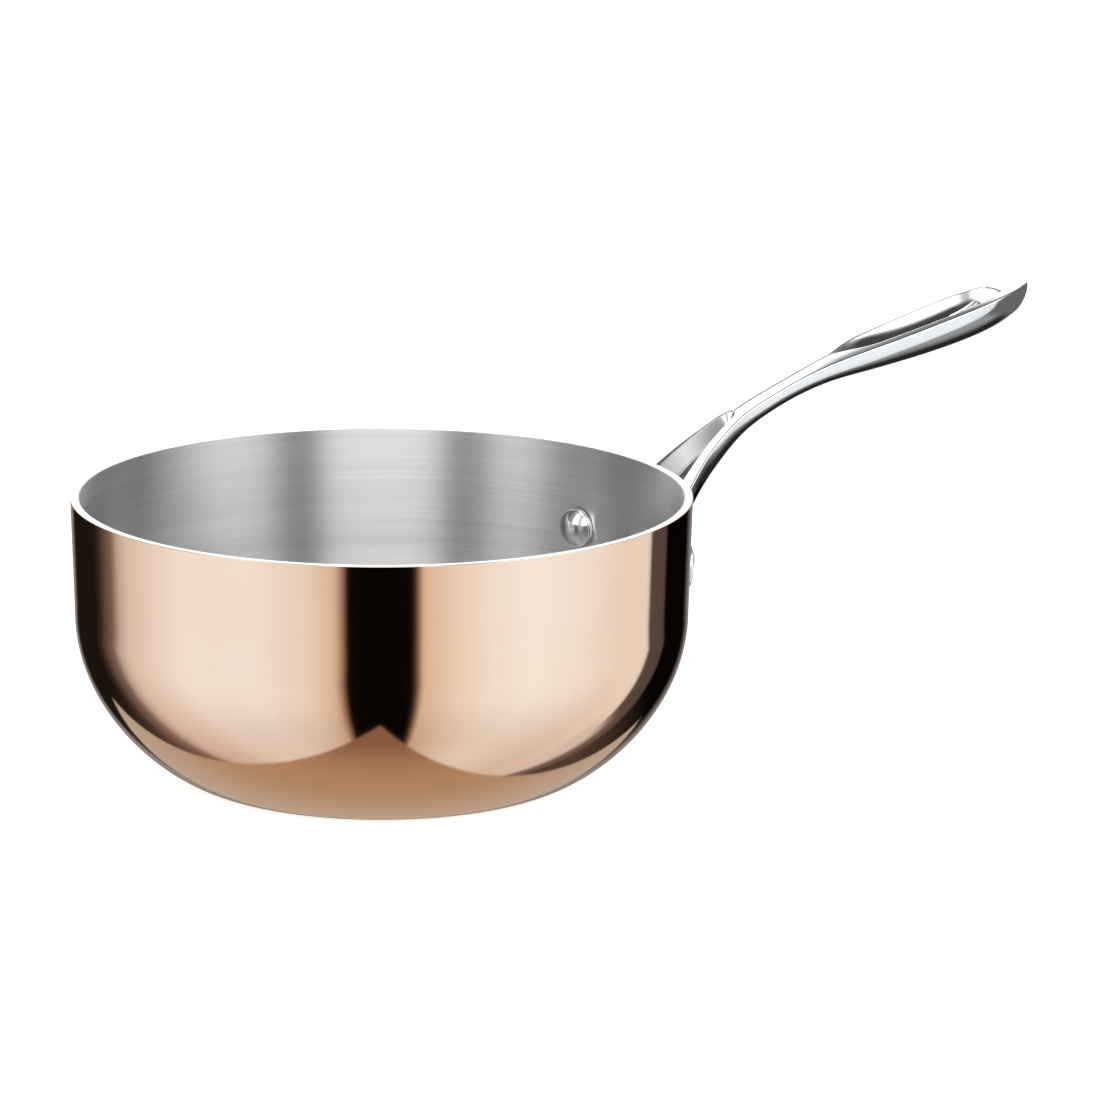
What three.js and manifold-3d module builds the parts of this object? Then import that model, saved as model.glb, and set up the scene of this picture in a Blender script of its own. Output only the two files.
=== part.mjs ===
// A 20 cm saucepan with a rounded base: three bonded metal layers, one cast handle and two rivets.
// Millimetres, +Z up. The pan's axis is Z, the underside of its base is z = 0 and the handle
// points along +X.
import * as THREE from "three";
import { mergeVertices } from "three/addons/utils/BufferGeometryUtils.js";
import Module from "manifold-3d";

const wasm = await Module();
wasm.setup();

// The pan's outer surface
const PAN_HEIGHT = 94.1;
const RIM_RADIUS = 102.9;
const WALL_TAPER = 0.0286; // the straight wall narrows by this much per millimetre downwards
const STRAIGHT_WALL = 39.2; // height of the straight wall, from the rim down
const BASE_RADIUS = 62.8; // flat underside
const BEND_STEPS = 8;
const PAN_SEGMENTS = 54;

// The three layers, from the outside in
const COPPER_THICKNESS = 0.5;
const CORE_THICKNESS = 1.8;
const LINER_THICKNESS = 0.5;
const LAYER_GAP = 0.02;
const WALL_THICKNESS = COPPER_THICKNESS + CORE_THICKNESS + LINER_THICKNESS + 2 * LAYER_GAP;

// Rivets
const RIVET_ANGLE = THREE.MathUtils.degToRad(16.3); // to each side of the handle
const RIVET_Z = PAN_HEIGHT - 28.5;
const SHANK_RADIUS = 3;
const HOLE_RADIUS = 3.3;
const HEAD_RADIUS = 6.9; // factory head, inside the pan
const HEAD_LIP = 1.6; // height of its straight side
const HEAD_HEIGHT = 4;
const FORMED_RADIUS = 5.5; // formed head, on the handle's flange
const FORMED_HEIGHT = 2.2;
const SEAT_GAP = 0.85; // a flat head against the hollow wall only touches near its ends
const FIT_GAP = 0.3; // between touching pieces

// Handle
const FLANGE_THICKNESS = 4;
const PAD_RADIUS = 8.5; // round pad about each rivet
const PAD_DROP = 1.8; // its centre is this far below the rivet's
const PAD_Z = RIVET_Z - PAD_DROP;
const WEB_RISE = 5; // how far the flange's lower edge arches up between the pads
const WEB_TOP = RIVET_Z + 14; // upper edge of the flange, behind the arm
const WEB_HALF_WIDTH = 16.5; // at its upper edge
const WEB_WAIST = 4; // how far its sides curve out before they meet the pads
const BELLY_POWER = 0.8; // under 1 makes the handle's section fuller than an ellipse
const HANDLE_STEPS = 30;
const BELLY_STEPS = 7;
const CROWN_STEPS = 6;

// Top edge of one side of the handle (distance from the pan's axis, half width, height), the
// handle's depth below that edge, and the rise of its rounded top above it.
const HANDLE_STATIONS = [
  { x: 97, halfWidth: 25, z: 72.5, depth: 19.5, crown: 0 },
  { x: 108, halfWidth: 18.3, z: 82, depth: 17.4, crown: 0 },
  { x: 115, halfWidth: 14.8, z: 88.4, depth: 15.8, crown: 0 },
  { x: 122, halfWidth: 11.7, z: 94.5, depth: 14.1, crown: 0 },
  { x: 130, halfWidth: 9.1, z: 100.3, depth: 12, crown: 0 },
  { x: 140, halfWidth: 6.8, z: 106.3, depth: 9.4, crown: 0.1 },
  { x: 150, halfWidth: 6.1, z: 110.7, depth: 7.7, crown: 0.2 },
  { x: 165, halfWidth: 5.8, z: 116.3, depth: 7.2, crown: 0.4 },
  { x: 180, halfWidth: 7, z: 121.1, depth: 8, crown: 1 },
  { x: 195, halfWidth: 8.9, z: 124.8, depth: 9.5, crown: 1.6 },
  { x: 210, halfWidth: 9.8, z: 128.2, depth: 10.8, crown: 2 },
  { x: 225, halfWidth: 10.4, z: 131.8, depth: 11.9, crown: 2.1 },
  { x: 240, halfWidth: 10.2, z: 135.3, depth: 12.2, crown: 1.8 },
  { x: 250, halfWidth: 8.4, z: 137.5, depth: 11.5, crown: 1.2 },
  { x: 257, halfWidth: 5.9, z: 138.8, depth: 9.9, crown: 0.7 },
  { x: 262, halfWidth: 2.9, z: 139.4, depth: 7, crown: 0.3 },
  { x: 264, halfWidth: 1.4, z: 139.5, depth: 4.1, crown: 0.05 },
  { x: 264.6, halfWidth: 0.4, z: 139.5, depth: 1.3, crown: 0.02 },
];

// Groove in the top of the root, open towards the pan: half width and depth below the top edge.
const GROOVE_STATIONS = [
  { x: 96, halfWidth: 18.6, depth: 5.4 },
  { x: 110, halfWidth: 11.8, depth: 5 },
  { x: 116, halfWidth: 9.2, depth: 4.8 },
  { x: 124, halfWidth: 6.5, depth: 4.7 },
  { x: 132, halfWidth: 4.3, depth: 4.6 },
  { x: 136.5, halfWidth: 3.3, depth: 4.1 },
  { x: 139, halfWidth: 2.3, depth: 2.8 },
  { x: 140.3, halfWidth: 0.8, depth: 0.9 },
];
const GROOVE_FLOOR = 0.08; // flat part of the groove's bottom, as a share of its width

// Leaf-shaped hollow in the top of the grip: half width, depth below the top edge and fullness of
// its section, where 1 is a plain V and 2 is an ellipse.
const HOLLOW_STATIONS = [
  { x: 181, halfWidth: 0.4, depth: 0.1, fullness: 1.4 },
  { x: 184, halfWidth: 1.9, depth: 0.8, fullness: 1.3 },
  { x: 187, halfWidth: 3.4, depth: 1.7, fullness: 1.3 },
  { x: 192, halfWidth: 5.5, depth: 3.5, fullness: 1.3 },
  { x: 200, halfWidth: 6.8, depth: 5, fullness: 1.3 },
  { x: 210, halfWidth: 7.4, depth: 6.1, fullness: 1.4 },
  { x: 220, halfWidth: 7.9, depth: 6.9, fullness: 1.5 },
  { x: 230, halfWidth: 8.2, depth: 7.4, fullness: 1.5 },
  { x: 240, halfWidth: 7.7, depth: 7.1, fullness: 1.5 },
  { x: 247, halfWidth: 5.9, depth: 6.3, fullness: 1.5 },
  { x: 250, halfWidth: 4.6, depth: 5.8, fullness: 1.5 },
];
const HOLLOW_CLEARANCE = 4; // how far a cutter stands above the handle's top

// Hanging slot through the end of the hollow
const SLOT_RADIUS = 4.6;
const SLOT_START = 236;
const SLOT_END = 245.2;

const copper = { color: 0xd9a483, roughness: 0.12, metalness: 1 };
const aluminium = { color: 0xc9cbcd, roughness: 0.35, metalness: 1 };
const brushedSteel = { color: 0xb9bab9, roughness: 0.35, metalness: 1 };
const polishedSteel = { color: 0xd8d9da, roughness: 0.14, metalness: 1 };

// Shared helpers

function toSolid(geometry) {
  geometry.deleteAttribute("normal");
  geometry.deleteAttribute("uv");
  const merged = mergeVertices(geometry, 1e-4);
  return new wasm.Manifold(
    new wasm.Mesh({
      numProp: 3,
      vertProperties: merged.attributes.position.array,
      triVerts: new Uint32Array(merged.index.array),
    }),
  );
}

function toGeometry(solid) {
  const mesh = solid.getMesh();
  const geometry = new THREE.BufferGeometry();
  geometry.setAttribute("position", new THREE.BufferAttribute(mesh.vertProperties, 3));
  geometry.setIndex(new THREE.BufferAttribute(mesh.triVerts, 1));
  geometry.computeVertexNormals();
  return geometry;
}

function namedMesh(name, solid, look) {
  const mesh = new THREE.Mesh(toGeometry(solid), new THREE.MeshStandardMaterial(look));
  mesh.name = name;
  return mesh;
}

// A profile of [radius, height] pairs turned about Z
function turned(profile, segments) {
  const points = profile.map(([radius, height]) => new THREE.Vector2(radius, height));
  return new THREE.LatheGeometry(points, segments).rotateX(Math.PI / 2);
}

// A closed skin over rings of equal length, with a flat cap at each end
function loft(rings) {
  const count = rings[0].length;
  const positions = rings.flat().flatMap((point) => point.toArray());
  const indices = [];
  for (let ring = 0; ring + 1 < rings.length; ring++) {
    for (let side = 0; side < count; side++) {
      const a = ring * count + side;
      const b = ring * count + ((side + 1) % count);
      indices.push(a, b, a + count, b, b + count, a + count);
    }
  }
  for (const [ring, outward] of [[0, false], [rings.length - 1, true]]) {
    const centre = new THREE.Vector3();
    rings[ring].forEach((point) => centre.addScaledVector(point, 1 / count));
    positions.push(...centre.toArray());
    const hub = positions.length / 3 - 1;
    for (let side = 0; side < count; side++) {
      const a = ring * count + side;
      const b = ring * count + ((side + 1) % count);
      indices.push(hub, ...(outward ? [a, b] : [b, a]));
    }
  }
  const geometry = new THREE.BufferGeometry();
  geometry.setAttribute("position", new THREE.Float32BufferAttribute(positions, 3));
  geometry.setIndex(indices);
  return geometry;
}

// A smooth curve through one value of a list of stations, as a function of x
function smooth(stations, key) {
  const curve = new THREE.CatmullRomCurve3(
    stations.map((station) => new THREE.Vector3(station.x, station[key], 0)),
    false,
    "centripetal",
  );
  const samples = curve.getPoints(stations.length * 20);
  return (x) => {
    const next = samples.findIndex((point) => point.x >= x);
    if (next <= 0) return next === 0 ? samples[0].y : samples.at(-1).y;
    const [a, b] = [samples[next - 1], samples[next]];
    return THREE.MathUtils.mapLinear(x, a.x, b.x, a.y, b.y);
  };
}

// Pan layers

// The pan's surface from the centre of the base to the rim, set in from the outside by inset
function panOutline(inset) {
  const bendRadius = RIM_RADIUS - WALL_TAPER * STRAIGHT_WALL;
  const bendHeight = PAN_HEIGHT - STRAIGHT_WALL;
  const reach = bendRadius - BASE_RADIUS;
  const points = [[0, inset]];
  for (let step = BEND_STEPS; step >= 0; step--) {
    const turn = (step / BEND_STEPS) * (Math.PI / 2);
    const cosine = Math.max(Math.cos(turn), 0);
    const normal = new THREE.Vector2(-bendHeight * Math.sqrt(cosine), 1.5 * reach * Math.sin(turn));
    normal.setLength(inset);
    const radius = BASE_RADIUS + reach * cosine ** 1.5;
    points.push([radius + normal.x, bendHeight * (1 - Math.sin(turn)) + normal.y]);
  }
  points.push([RIM_RADIUS - inset, PAN_HEIGHT]);
  return points;
}

function panLayer(outerInset, thickness) {
  const inside = panOutline(outerInset + thickness).reverse();
  return toSolid(turned([...panOutline(outerInset), ...inside], PAN_SEGMENTS));
}

function wallRadius(z) {
  return RIM_RADIUS - WALL_TAPER * (PAN_HEIGHT - z);
}

// Places a geometry built along +X so that it points out through one rivet's hole
function atRivet(geometry, side) {
  return geometry.rotateZ(side * RIVET_ANGLE).translate(0, 0, RIVET_Z);
}

function rivetHoles() {
  const length = 40;
  const drill = (side) => {
    const bore = new THREE.CylinderGeometry(HOLE_RADIUS, HOLE_RADIUS, length, 20);
    return toSolid(atRivet(bore.rotateZ(-Math.PI / 2).translate(RIM_RADIUS, 0, 0), side));
  };
  return drill(1).add(drill(-1));
}

// Rivets

function rivet(side) {
  const seat = wallRadius(RIVET_Z) - WALL_THICKNESS - SEAT_GAP;
  const formedSeat = wallRadius(RIVET_Z) + 2 * FIT_GAP + FLANGE_THICKNESS;
  const dome = (radius, height, from, direction) =>
    [1, 0.94, 0.78, 0.5, 0].map((share) => [
      radius * share,
      from + direction * height * Math.sqrt(1 - share * share),
    ]);
  const factoryHead = dome(HEAD_RADIUS * 0.9, HEAD_HEIGHT - HEAD_LIP, seat - HEAD_LIP, -1).reverse();
  const formedHead = dome(FORMED_RADIUS, FORMED_HEIGHT, formedSeat, 1);
  const profile = [
    ...factoryHead,
    [HEAD_RADIUS, seat - HEAD_LIP],
    [HEAD_RADIUS, seat],
    [SHANK_RADIUS, seat],
    [SHANK_RADIUS, formedSeat],
    ...formedHead,
  ];
  return toSolid(atRivet(turned(profile, 24).rotateY(Math.PI / 2), side));
}

// Handle

const edgeZ = smooth(HANDLE_STATIONS, "z");
const edgeHalfWidth = smooth(HANDLE_STATIONS, "halfWidth");
const edgeDepth = smooth(HANDLE_STATIONS, "depth");
const topCrown = smooth(HANDLE_STATIONS, "crown");

function handleRing(x) {
  const [half, top, depth] = [edgeHalfWidth(x), edgeZ(x), edgeDepth(x)];
  const ring = [];
  for (let step = 0; step < CROWN_STEPS; step++) {
    const share = 1 - (2 * step) / CROWN_STEPS;
    ring.push(new THREE.Vector3(x, half * share, top + topCrown(x) * (1 - share * share)));
  }
  for (let step = 0; step < 2 * BELLY_STEPS; step++) {
    const turn = (step / (2 * BELLY_STEPS)) * Math.PI;
    const across = Math.sign(Math.cos(turn)) * Math.abs(Math.cos(turn)) ** BELLY_POWER;
    ring.push(new THREE.Vector3(x, -half * across, top - depth * Math.sin(turn) ** BELLY_POWER));
  }
  return ring;
}

// Steps are closer together where the handle ends in a rounded bow
function handleArm() {
  const [start, end] = [HANDLE_STATIONS[0].x, HANDLE_STATIONS.at(-1).x];
  const rings = [];
  for (let step = 0; step <= HANDLE_STEPS; step++) {
    const share = Math.sin((step / HANDLE_STEPS) * (Math.PI / 2)) ** 1.2;
    rings.push(handleRing(start + (end - start) * share));
  }
  return toSolid(loft(rings));
}

// A band that follows the wall, with the fitting gap behind it
function flangeBand() {
  const [low, high] = [PAD_Z - 2 * PAD_RADIUS, WEB_TOP + FLANGE_THICKNESS];
  const inside = (z) => wallRadius(z) + FIT_GAP;
  const outside = (z) => inside(z) + FLANGE_THICKNESS;
  const corners = [[inside(low), low], [outside(low), low], [outside(high), high], [inside(high), high]];
  return toSolid(turned([...corners, corners[0]], PAN_SEGMENTS));
}

// The band's outline seen along X: a web that narrows upwards, between two round pads
function flangeOutline() {
  const padY = (wallRadius(RIVET_Z) + FLANGE_THICKNESS) * Math.sin(RIVET_ANGLE);
  const [low, high] = [PAD_Z - PAD_RADIUS, PAD_Z + PAD_RADIUS];
  const waist = WEB_HALF_WIDTH + WEB_WAIST;
  const web = new THREE.Shape();
  web.moveTo(-padY, low);
  web.quadraticCurveTo(0, low + 2 * WEB_RISE, padY, low);
  web.lineTo(padY, high);
  web.quadraticCurveTo(waist, high, WEB_HALF_WIDTH, WEB_TOP);
  web.lineTo(-WEB_HALF_WIDTH, WEB_TOP);
  web.quadraticCurveTo(-waist, high, -padY, high);
  const depth = RIM_RADIUS;
  const stamp = new THREE.ExtrudeGeometry(web, { depth, bevelEnabled: false, curveSegments: 10 });
  return toSolid(stamp.rotateX(Math.PI / 2).rotateZ(Math.PI / 2).translate(RIM_RADIUS / 2, 0, 0));
}

function flangePad(side) {
  const pad = new THREE.CylinderGeometry(PAD_RADIUS, PAD_RADIUS, RIM_RADIUS, 32);
  return toSolid(atRivet(pad.rotateZ(-Math.PI / 2).translate(RIM_RADIUS, 0, -PAD_DROP), side));
}

function flange() {
  return flangeOutline().add(flangePad(1)).add(flangePad(-1)).intersect(flangeBand());
}

function grooveCutter() {
  const half = smooth(GROOVE_STATIONS, "halfWidth");
  const depth = smooth(GROOVE_STATIONS, "depth");
  const rings = [];
  for (const { x } of GROOVE_STATIONS) {
    const top = edgeZ(x);
    const floor = half(x) * GROOVE_FLOOR;
    const ring = [
      [half(x), 0],
      [half(x), HOLLOW_CLEARANCE],
      [-half(x), HOLLOW_CLEARANCE],
      [-half(x), 0],
      [-floor, -depth(x)],
      [floor, -depth(x)],
    ];
    rings.push(ring.map(([y, z]) => new THREE.Vector3(x, y, top + z)));
  }
  return toSolid(loft(rings));
}

function hollowCutter() {
  const half = smooth(HOLLOW_STATIONS, "halfWidth");
  const depth = smooth(HOLLOW_STATIONS, "depth");
  const fullness = smooth(HOLLOW_STATIONS, "fullness");
  const [start, end] = [HOLLOW_STATIONS[0].x, HOLLOW_STATIONS.at(-1).x];
  const steps = 16;
  const rings = [];
  for (let step = 0; step <= steps; step++) {
    const x = start + ((end - start) * step) / steps;
    const share = half(x) / edgeHalfWidth(x);
    const lip = edgeZ(x) + topCrown(x) * (1 - share * share);
    const floor = lip - edgeZ(x) + depth(x);
    const ring = [new THREE.Vector3(x, half(x), lip + HOLLOW_CLEARANCE)];
    ring.push(new THREE.Vector3(x, -half(x), lip + HOLLOW_CLEARANCE));
    const power = 2 / fullness(x);
    for (let turn = 0; turn <= 8; turn++) {
      const [across, down] = [Math.cos((turn / 8) * Math.PI), Math.sin((turn / 8) * Math.PI)];
      const y = -half(x) * Math.sign(across) * Math.abs(across) ** power;
      ring.push(new THREE.Vector3(x, y, lip - floor * Math.abs(down) ** power));
    }
    rings.push(ring);
  }
  return toSolid(loft(rings));
}

function slotCutter() {
  const outline = new THREE.Shape();
  outline.absarc(SLOT_END, 0, SLOT_RADIUS, -Math.PI / 2, Math.PI / 2, false);
  outline.absarc(SLOT_START, 0, SLOT_RADIUS, Math.PI / 2, Math.PI * 1.5, false);
  const depth = 50;
  const slot = new THREE.ExtrudeGeometry(outline, { depth, bevelEnabled: false, curveSegments: 10 });
  return toSolid(slot.translate(0, 0, edgeZ(SLOT_END) - depth / 2));
}

// Everything that the pan's wall fills, with the fitting gap round it
function panEnvelope() {
  const profile = [[0, -5], ...panOutline(-FIT_GAP).slice(1), [0, PAN_HEIGHT]];
  return toSolid(turned(profile, PAN_SEGMENTS));
}

function handle() {
  return handleArm()
    .add(flange())
    .subtract(grooveCutter())
    .subtract(hollowCutter())
    .subtract(slotCutter())
    .subtract(panEnvelope())
    .subtract(rivetHoles());
}

// Assembly

const saucepan = new THREE.Group();
const holes = rivetHoles();
const coreInset = COPPER_THICKNESS + LAYER_GAP;
const linerInset = coreInset + CORE_THICKNESS + LAYER_GAP;

const layers = [
  ["outer_copper_shell", 0, COPPER_THICKNESS, copper],
  ["aluminium_core", coreInset, CORE_THICKNESS, aluminium],
  ["steel_liner", linerInset, LINER_THICKNESS, brushedSteel],
];
for (const [name, inset, thickness, look] of layers) {
  saucepan.add(namedMesh(name, panLayer(inset, thickness).subtract(holes), look));
}
saucepan.add(namedMesh("handle", handle(), polishedSteel));
saucepan.add(namedMesh("rivet_left", rivet(1), polishedSteel));
saucepan.add(namedMesh("rivet_right", rivet(-1), polishedSteel));

export default saucepan;
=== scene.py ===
import bpy
import numpy as np
from mathutils import Matrix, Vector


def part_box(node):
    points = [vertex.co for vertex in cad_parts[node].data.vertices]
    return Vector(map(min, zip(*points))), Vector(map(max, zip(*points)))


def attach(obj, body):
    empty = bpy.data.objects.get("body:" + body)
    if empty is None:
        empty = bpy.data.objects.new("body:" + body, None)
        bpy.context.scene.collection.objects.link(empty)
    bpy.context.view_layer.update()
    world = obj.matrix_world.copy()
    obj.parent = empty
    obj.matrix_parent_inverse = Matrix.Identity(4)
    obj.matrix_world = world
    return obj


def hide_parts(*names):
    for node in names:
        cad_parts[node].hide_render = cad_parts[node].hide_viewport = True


# A 20 cm saucepan, seen in a studio: mirror-polished copper outside, brushed steel inside, one long
# cast handle and two rivets. Shapes are worked out in millimetres in the CAD's frame: the pan's axis
# is Z, its base stands on z = 0 and the handle points along +X.

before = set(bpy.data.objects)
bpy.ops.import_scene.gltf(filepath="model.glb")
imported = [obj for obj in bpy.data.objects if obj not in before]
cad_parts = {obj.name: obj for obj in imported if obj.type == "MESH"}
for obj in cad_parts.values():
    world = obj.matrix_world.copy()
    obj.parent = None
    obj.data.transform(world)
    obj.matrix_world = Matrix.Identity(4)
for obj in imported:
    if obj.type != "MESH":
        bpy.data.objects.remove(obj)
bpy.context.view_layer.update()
MM = 0.001

# Pan, with the same driving sizes as the CAD
RIM_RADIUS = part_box("outer_copper_shell")[1][1] / MM
PAN_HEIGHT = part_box("outer_copper_shell")[1][2] / MM
WALL_TAPER = 0.0286
STRAIGHT_WALL = 39.2
BASE_RADIUS = 62.8
COPPER = 0.5
CORE = 1.8
LINER = 0.5
LAYER_GAP = 0.02
WALL = COPPER + CORE + LINER + 2 * LAYER_GAP
BEND_HEIGHT = PAN_HEIGHT - STRAIGHT_WALL
BEND_RADIUS = RIM_RADIUS - WALL_TAPER * STRAIGHT_WALL
PAN_SEGMENTS = 256

# Rivets: a domed head inside the pan, a shank through the wall and a formed head on the flange
RIVET_ANGLE = np.radians(16.3)
RIVET_Z = PAN_HEIGHT - 28.5
HEAD_RADIUS = 6.9
HEAD_LIP = 1.6
HEAD_CORNER = 0.45
HEAD_GAP = 0.3
DOME_RADIUS = 6.1
DOME_HEIGHT = 2.4
DOME_FILLET = 0.3
FORMED_RADIUS = 5.5
FORMED_HEIGHT = 2.2
FORMED_CORNER = 0.4
CROWN_INSET = 0.25
SHANK_RADIUS = 3.0
HOLE_GAP = 0.1

# Handle's flange: its thickness, its gap to the wall and the round pad about each rivet
FLANGE = 4.0
FLANGE_GAP = 0.1
PAD_RADIUS = 8.5
PAD_Z = RIVET_Z - 1.8

# Web between the pads: its half width at the top, how fast it spreads from WEB_SPREAD_FROM above the
# rivets downwards, its top above the rivets and how far its lower edge arches up
WEB_HALF = 16.5
WEB_SPREAD = 0.075
WEB_SPREAD_FROM = 14
WEB_TOP = 15
WEB_ARCH = 5

# Camera: distance from the rim's centre, bearing of the handle from the picture's right, tilt of the
# line of sight to the rim's centre, and how far the camera then turns to the right and down
CAMERA_DISTANCE = 2.0
HANDLE_BEARING = np.radians(31.0)
SIGHT_TILT = np.radians(12.9)
TURN_RIGHT = 0.027785
TURN_DOWN = 0.009333
LENS = 197.77


# Node helpers ---------------------------------------------------------------------------------

class Nodes:
    """A node tree with short calls for the nodes that every material here uses."""

    def __init__(self, tree):
        self.tree = tree
        tree.nodes.clear()

    def add(self, kind, **settings):
        node = self.tree.nodes.new(kind)
        for name, value in settings.items():
            setattr(node, name, value)
        return node

    def join(self, source, target):
        self.tree.links.new(source, target)

    def feed(self, socket, value):
        if isinstance(value, bpy.types.NodeSocket):
            self.join(value, socket)
        else:
            socket.default_value = value

    def math(self, operation, a, b=0.0, c=0.0, clamp=False):
        node = self.add("ShaderNodeMath", operation=operation, use_clamp=clamp)
        for socket, value in zip(node.inputs, (a, b, c)):
            self.feed(socket, value)
        return node.outputs[0]

    def between(self, value, low, high, out_low=0.0, out_high=1.0):
        node = self.add("ShaderNodeMapRange", interpolation_type="SMOOTHSTEP")
        for socket, item in zip(node.inputs, (value, low, high, out_low, out_high)):
            self.feed(socket, item)
        return node.outputs[0]

    def mix(self, share, a, b, blend="MIX"):
        node = self.add("ShaderNodeMix", data_type="RGBA", blend_type=blend)
        self.feed(node.inputs[0], share)
        self.feed(node.inputs[6], a)
        self.feed(node.inputs[7], b)
        return node.outputs[2]

    def multiply(self, a, b):
        return self.mix(1.0, a, b, "MULTIPLY")

    def plus(self, a, b):
        return self.mix(1.0, a, b, "ADD")

    def noise(self, vector, scale, detail=2.0, roughness=0.5):
        node = self.add("ShaderNodeTexNoise")
        self.join(vector, node.inputs["Vector"])
        node.inputs["Scale"].default_value = scale
        node.inputs["Detail"].default_value = detail
        node.inputs["Roughness"].default_value = roughness
        return node.outputs[0]

    def ramp(self, value, stops, interpolation="LINEAR"):
        node = self.add("ShaderNodeValToRGB")
        node.color_ramp.interpolation = interpolation
        elements = node.color_ramp.elements
        while len(elements) < len(stops):
            elements.new(0.5)
        for element, (place, colour) in zip(elements, stops):
            element.position = place
            element.color = (*colour, 1.0)
        self.feed(node.inputs[0], value)
        return node.outputs[0]

    def bump(self, height, strength, distance, normal=None):
        node = self.add("ShaderNodeBump")
        node.inputs["Strength"].default_value = strength
        node.inputs["Distance"].default_value = distance
        self.join(height, node.inputs["Height"])
        if normal is not None:
            self.join(normal, node.inputs["Normal"])
        return node.outputs[0]

    def position(self):
        return self.add("ShaderNodeTexCoord").outputs["Object"]

    def split(self, vector):
        node = self.add("ShaderNodeSeparateXYZ")
        self.join(vector, node.inputs[0])
        return node.outputs

    def vector(self, x, y, z):
        node = self.add("ShaderNodeCombineXYZ")
        for socket, value in zip(node.inputs, (x, y, z)):
            self.feed(socket, value)
        return node.outputs[0]


def metal(name):
    """A new metal material, its nodes and its shader."""
    material = bpy.data.materials.new(name)
    material.use_nodes = True
    nodes = Nodes(material.node_tree)
    shader = nodes.add("ShaderNodeBsdfPrincipled")
    shader.inputs["Metallic"].default_value = 1.0
    output = nodes.add("ShaderNodeOutputMaterial")
    nodes.join(shader.outputs[0], output.inputs[0])
    return material, nodes, shader


def ring_lines(nodes, across, along):
    """Coordinates in which noise runs in thin lines round the pan's axis, on wall and base alike."""
    x, y, z = nodes.split(nodes.position())
    squares = nodes.math("ADD", nodes.math("MULTIPLY", x, x), nodes.math("MULTIPLY", y, y))
    radius = nodes.math("SQRT", squares)
    rise = nodes.math("MULTIPLY", nodes.math("ADD", radius, z), across)
    return nodes.vector(nodes.math("MULTIPLY", x, along), nodes.math("MULTIPLY", y, along), rise)


# Materials ------------------------------------------------------------------------------------

def copper_material():
    material, nodes, shader = metal("polished_copper")
    cloudy = nodes.noise(nodes.position(), 18.0, 3.0)
    lines = nodes.noise(ring_lines(nodes, 900.0, 5.0), 1.0, 3.0, 0.6)
    tint = nodes.between(cloudy, 0.35, 0.65)
    colour = nodes.mix(tint, (0.895, 0.705, 0.57, 1.0), (0.905, 0.725, 0.60, 1.0))
    nodes.join(colour, shader.inputs["Base Color"])
    haze = nodes.math("MULTIPLY_ADD", cloudy, 0.03, 0.035)
    nodes.join(nodes.math("MULTIPLY_ADD", lines, 0.02, haze), shader.inputs["Roughness"])
    fine = nodes.bump(lines, 0.12, 0.00002)
    waves = nodes.noise(nodes.position(), 22.0, 1.0)
    nodes.join(nodes.bump(waves, 0.25, 0.00025, fine), shader.inputs["Normal"])
    return material


def liner_material():
    material, nodes, shader = metal("brushed_steel")
    lines = nodes.noise(ring_lines(nodes, 1400.0, 9.0), 1.0, 4.0, 0.7)
    bands = nodes.noise(ring_lines(nodes, 260.0, 4.0), 1.0, 2.0)
    tone = nodes.math("MULTIPLY_ADD", bands, 0.35, nodes.math("MULTIPLY", lines, 0.65))
    colour = nodes.mix(nodes.between(tone, 0.3, 0.7), (0.64, 0.64, 0.64, 1.0), (0.75, 0.75, 0.75, 1.0))
    nodes.join(colour, shader.inputs["Base Color"])
    nodes.join(nodes.math("MULTIPLY_ADD", lines, 0.08, 0.35), shader.inputs["Roughness"])
    shader.inputs["Anisotropic"].default_value = 1.0
    shader.inputs["Anisotropic Rotation"].default_value = 0.25
    tangent = nodes.add("ShaderNodeTangent", direction_type="RADIAL", axis="Z")
    nodes.join(tangent.outputs[0], shader.inputs["Tangent"])
    nodes.join(nodes.bump(lines, 0.35, 0.00004), shader.inputs["Normal"])
    return material


def core_material():
    material, nodes, shader = metal("ground_core")
    lines = nodes.noise(ring_lines(nodes, 1400.0, 30.0), 1.0, 2.0)
    colour = nodes.mix(lines, (0.80, 0.81, 0.82, 1.0), (0.90, 0.90, 0.91, 1.0))
    nodes.join(colour, shader.inputs["Base Color"])
    nodes.join(nodes.math("MULTIPLY_ADD", lines, 0.15, 0.12), shader.inputs["Roughness"])
    nodes.join(nodes.bump(lines, 0.2, 0.00002), shader.inputs["Normal"])
    return material


def steel_material(name, stretch):
    """Polished stainless steel with faint wiping marks, stretched along the piece's length."""
    material, nodes, shader = metal(name)
    mapping = nodes.add("ShaderNodeMapping")
    mapping.inputs["Scale"].default_value = stretch
    nodes.join(nodes.position(), mapping.inputs["Vector"])
    marks = nodes.noise(mapping.outputs[0], 900.0, 3.0, 0.6)
    cloudy = nodes.noise(nodes.position(), 45.0, 3.0)
    colour = nodes.mix(cloudy, (0.79, 0.805, 0.82, 1.0), (0.86, 0.87, 0.88, 1.0))
    nodes.join(colour, shader.inputs["Base Color"])
    haze = nodes.math("MULTIPLY_ADD", cloudy, 0.05, 0.06)
    nodes.join(nodes.math("MULTIPLY_ADD", marks, 0.05, haze), shader.inputs["Roughness"])
    fine = nodes.bump(marks, 0.1, 0.00002)
    nodes.join(nodes.bump(cloudy, 0.2, 0.0002, fine), shader.inputs["Normal"])
    return material


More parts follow.
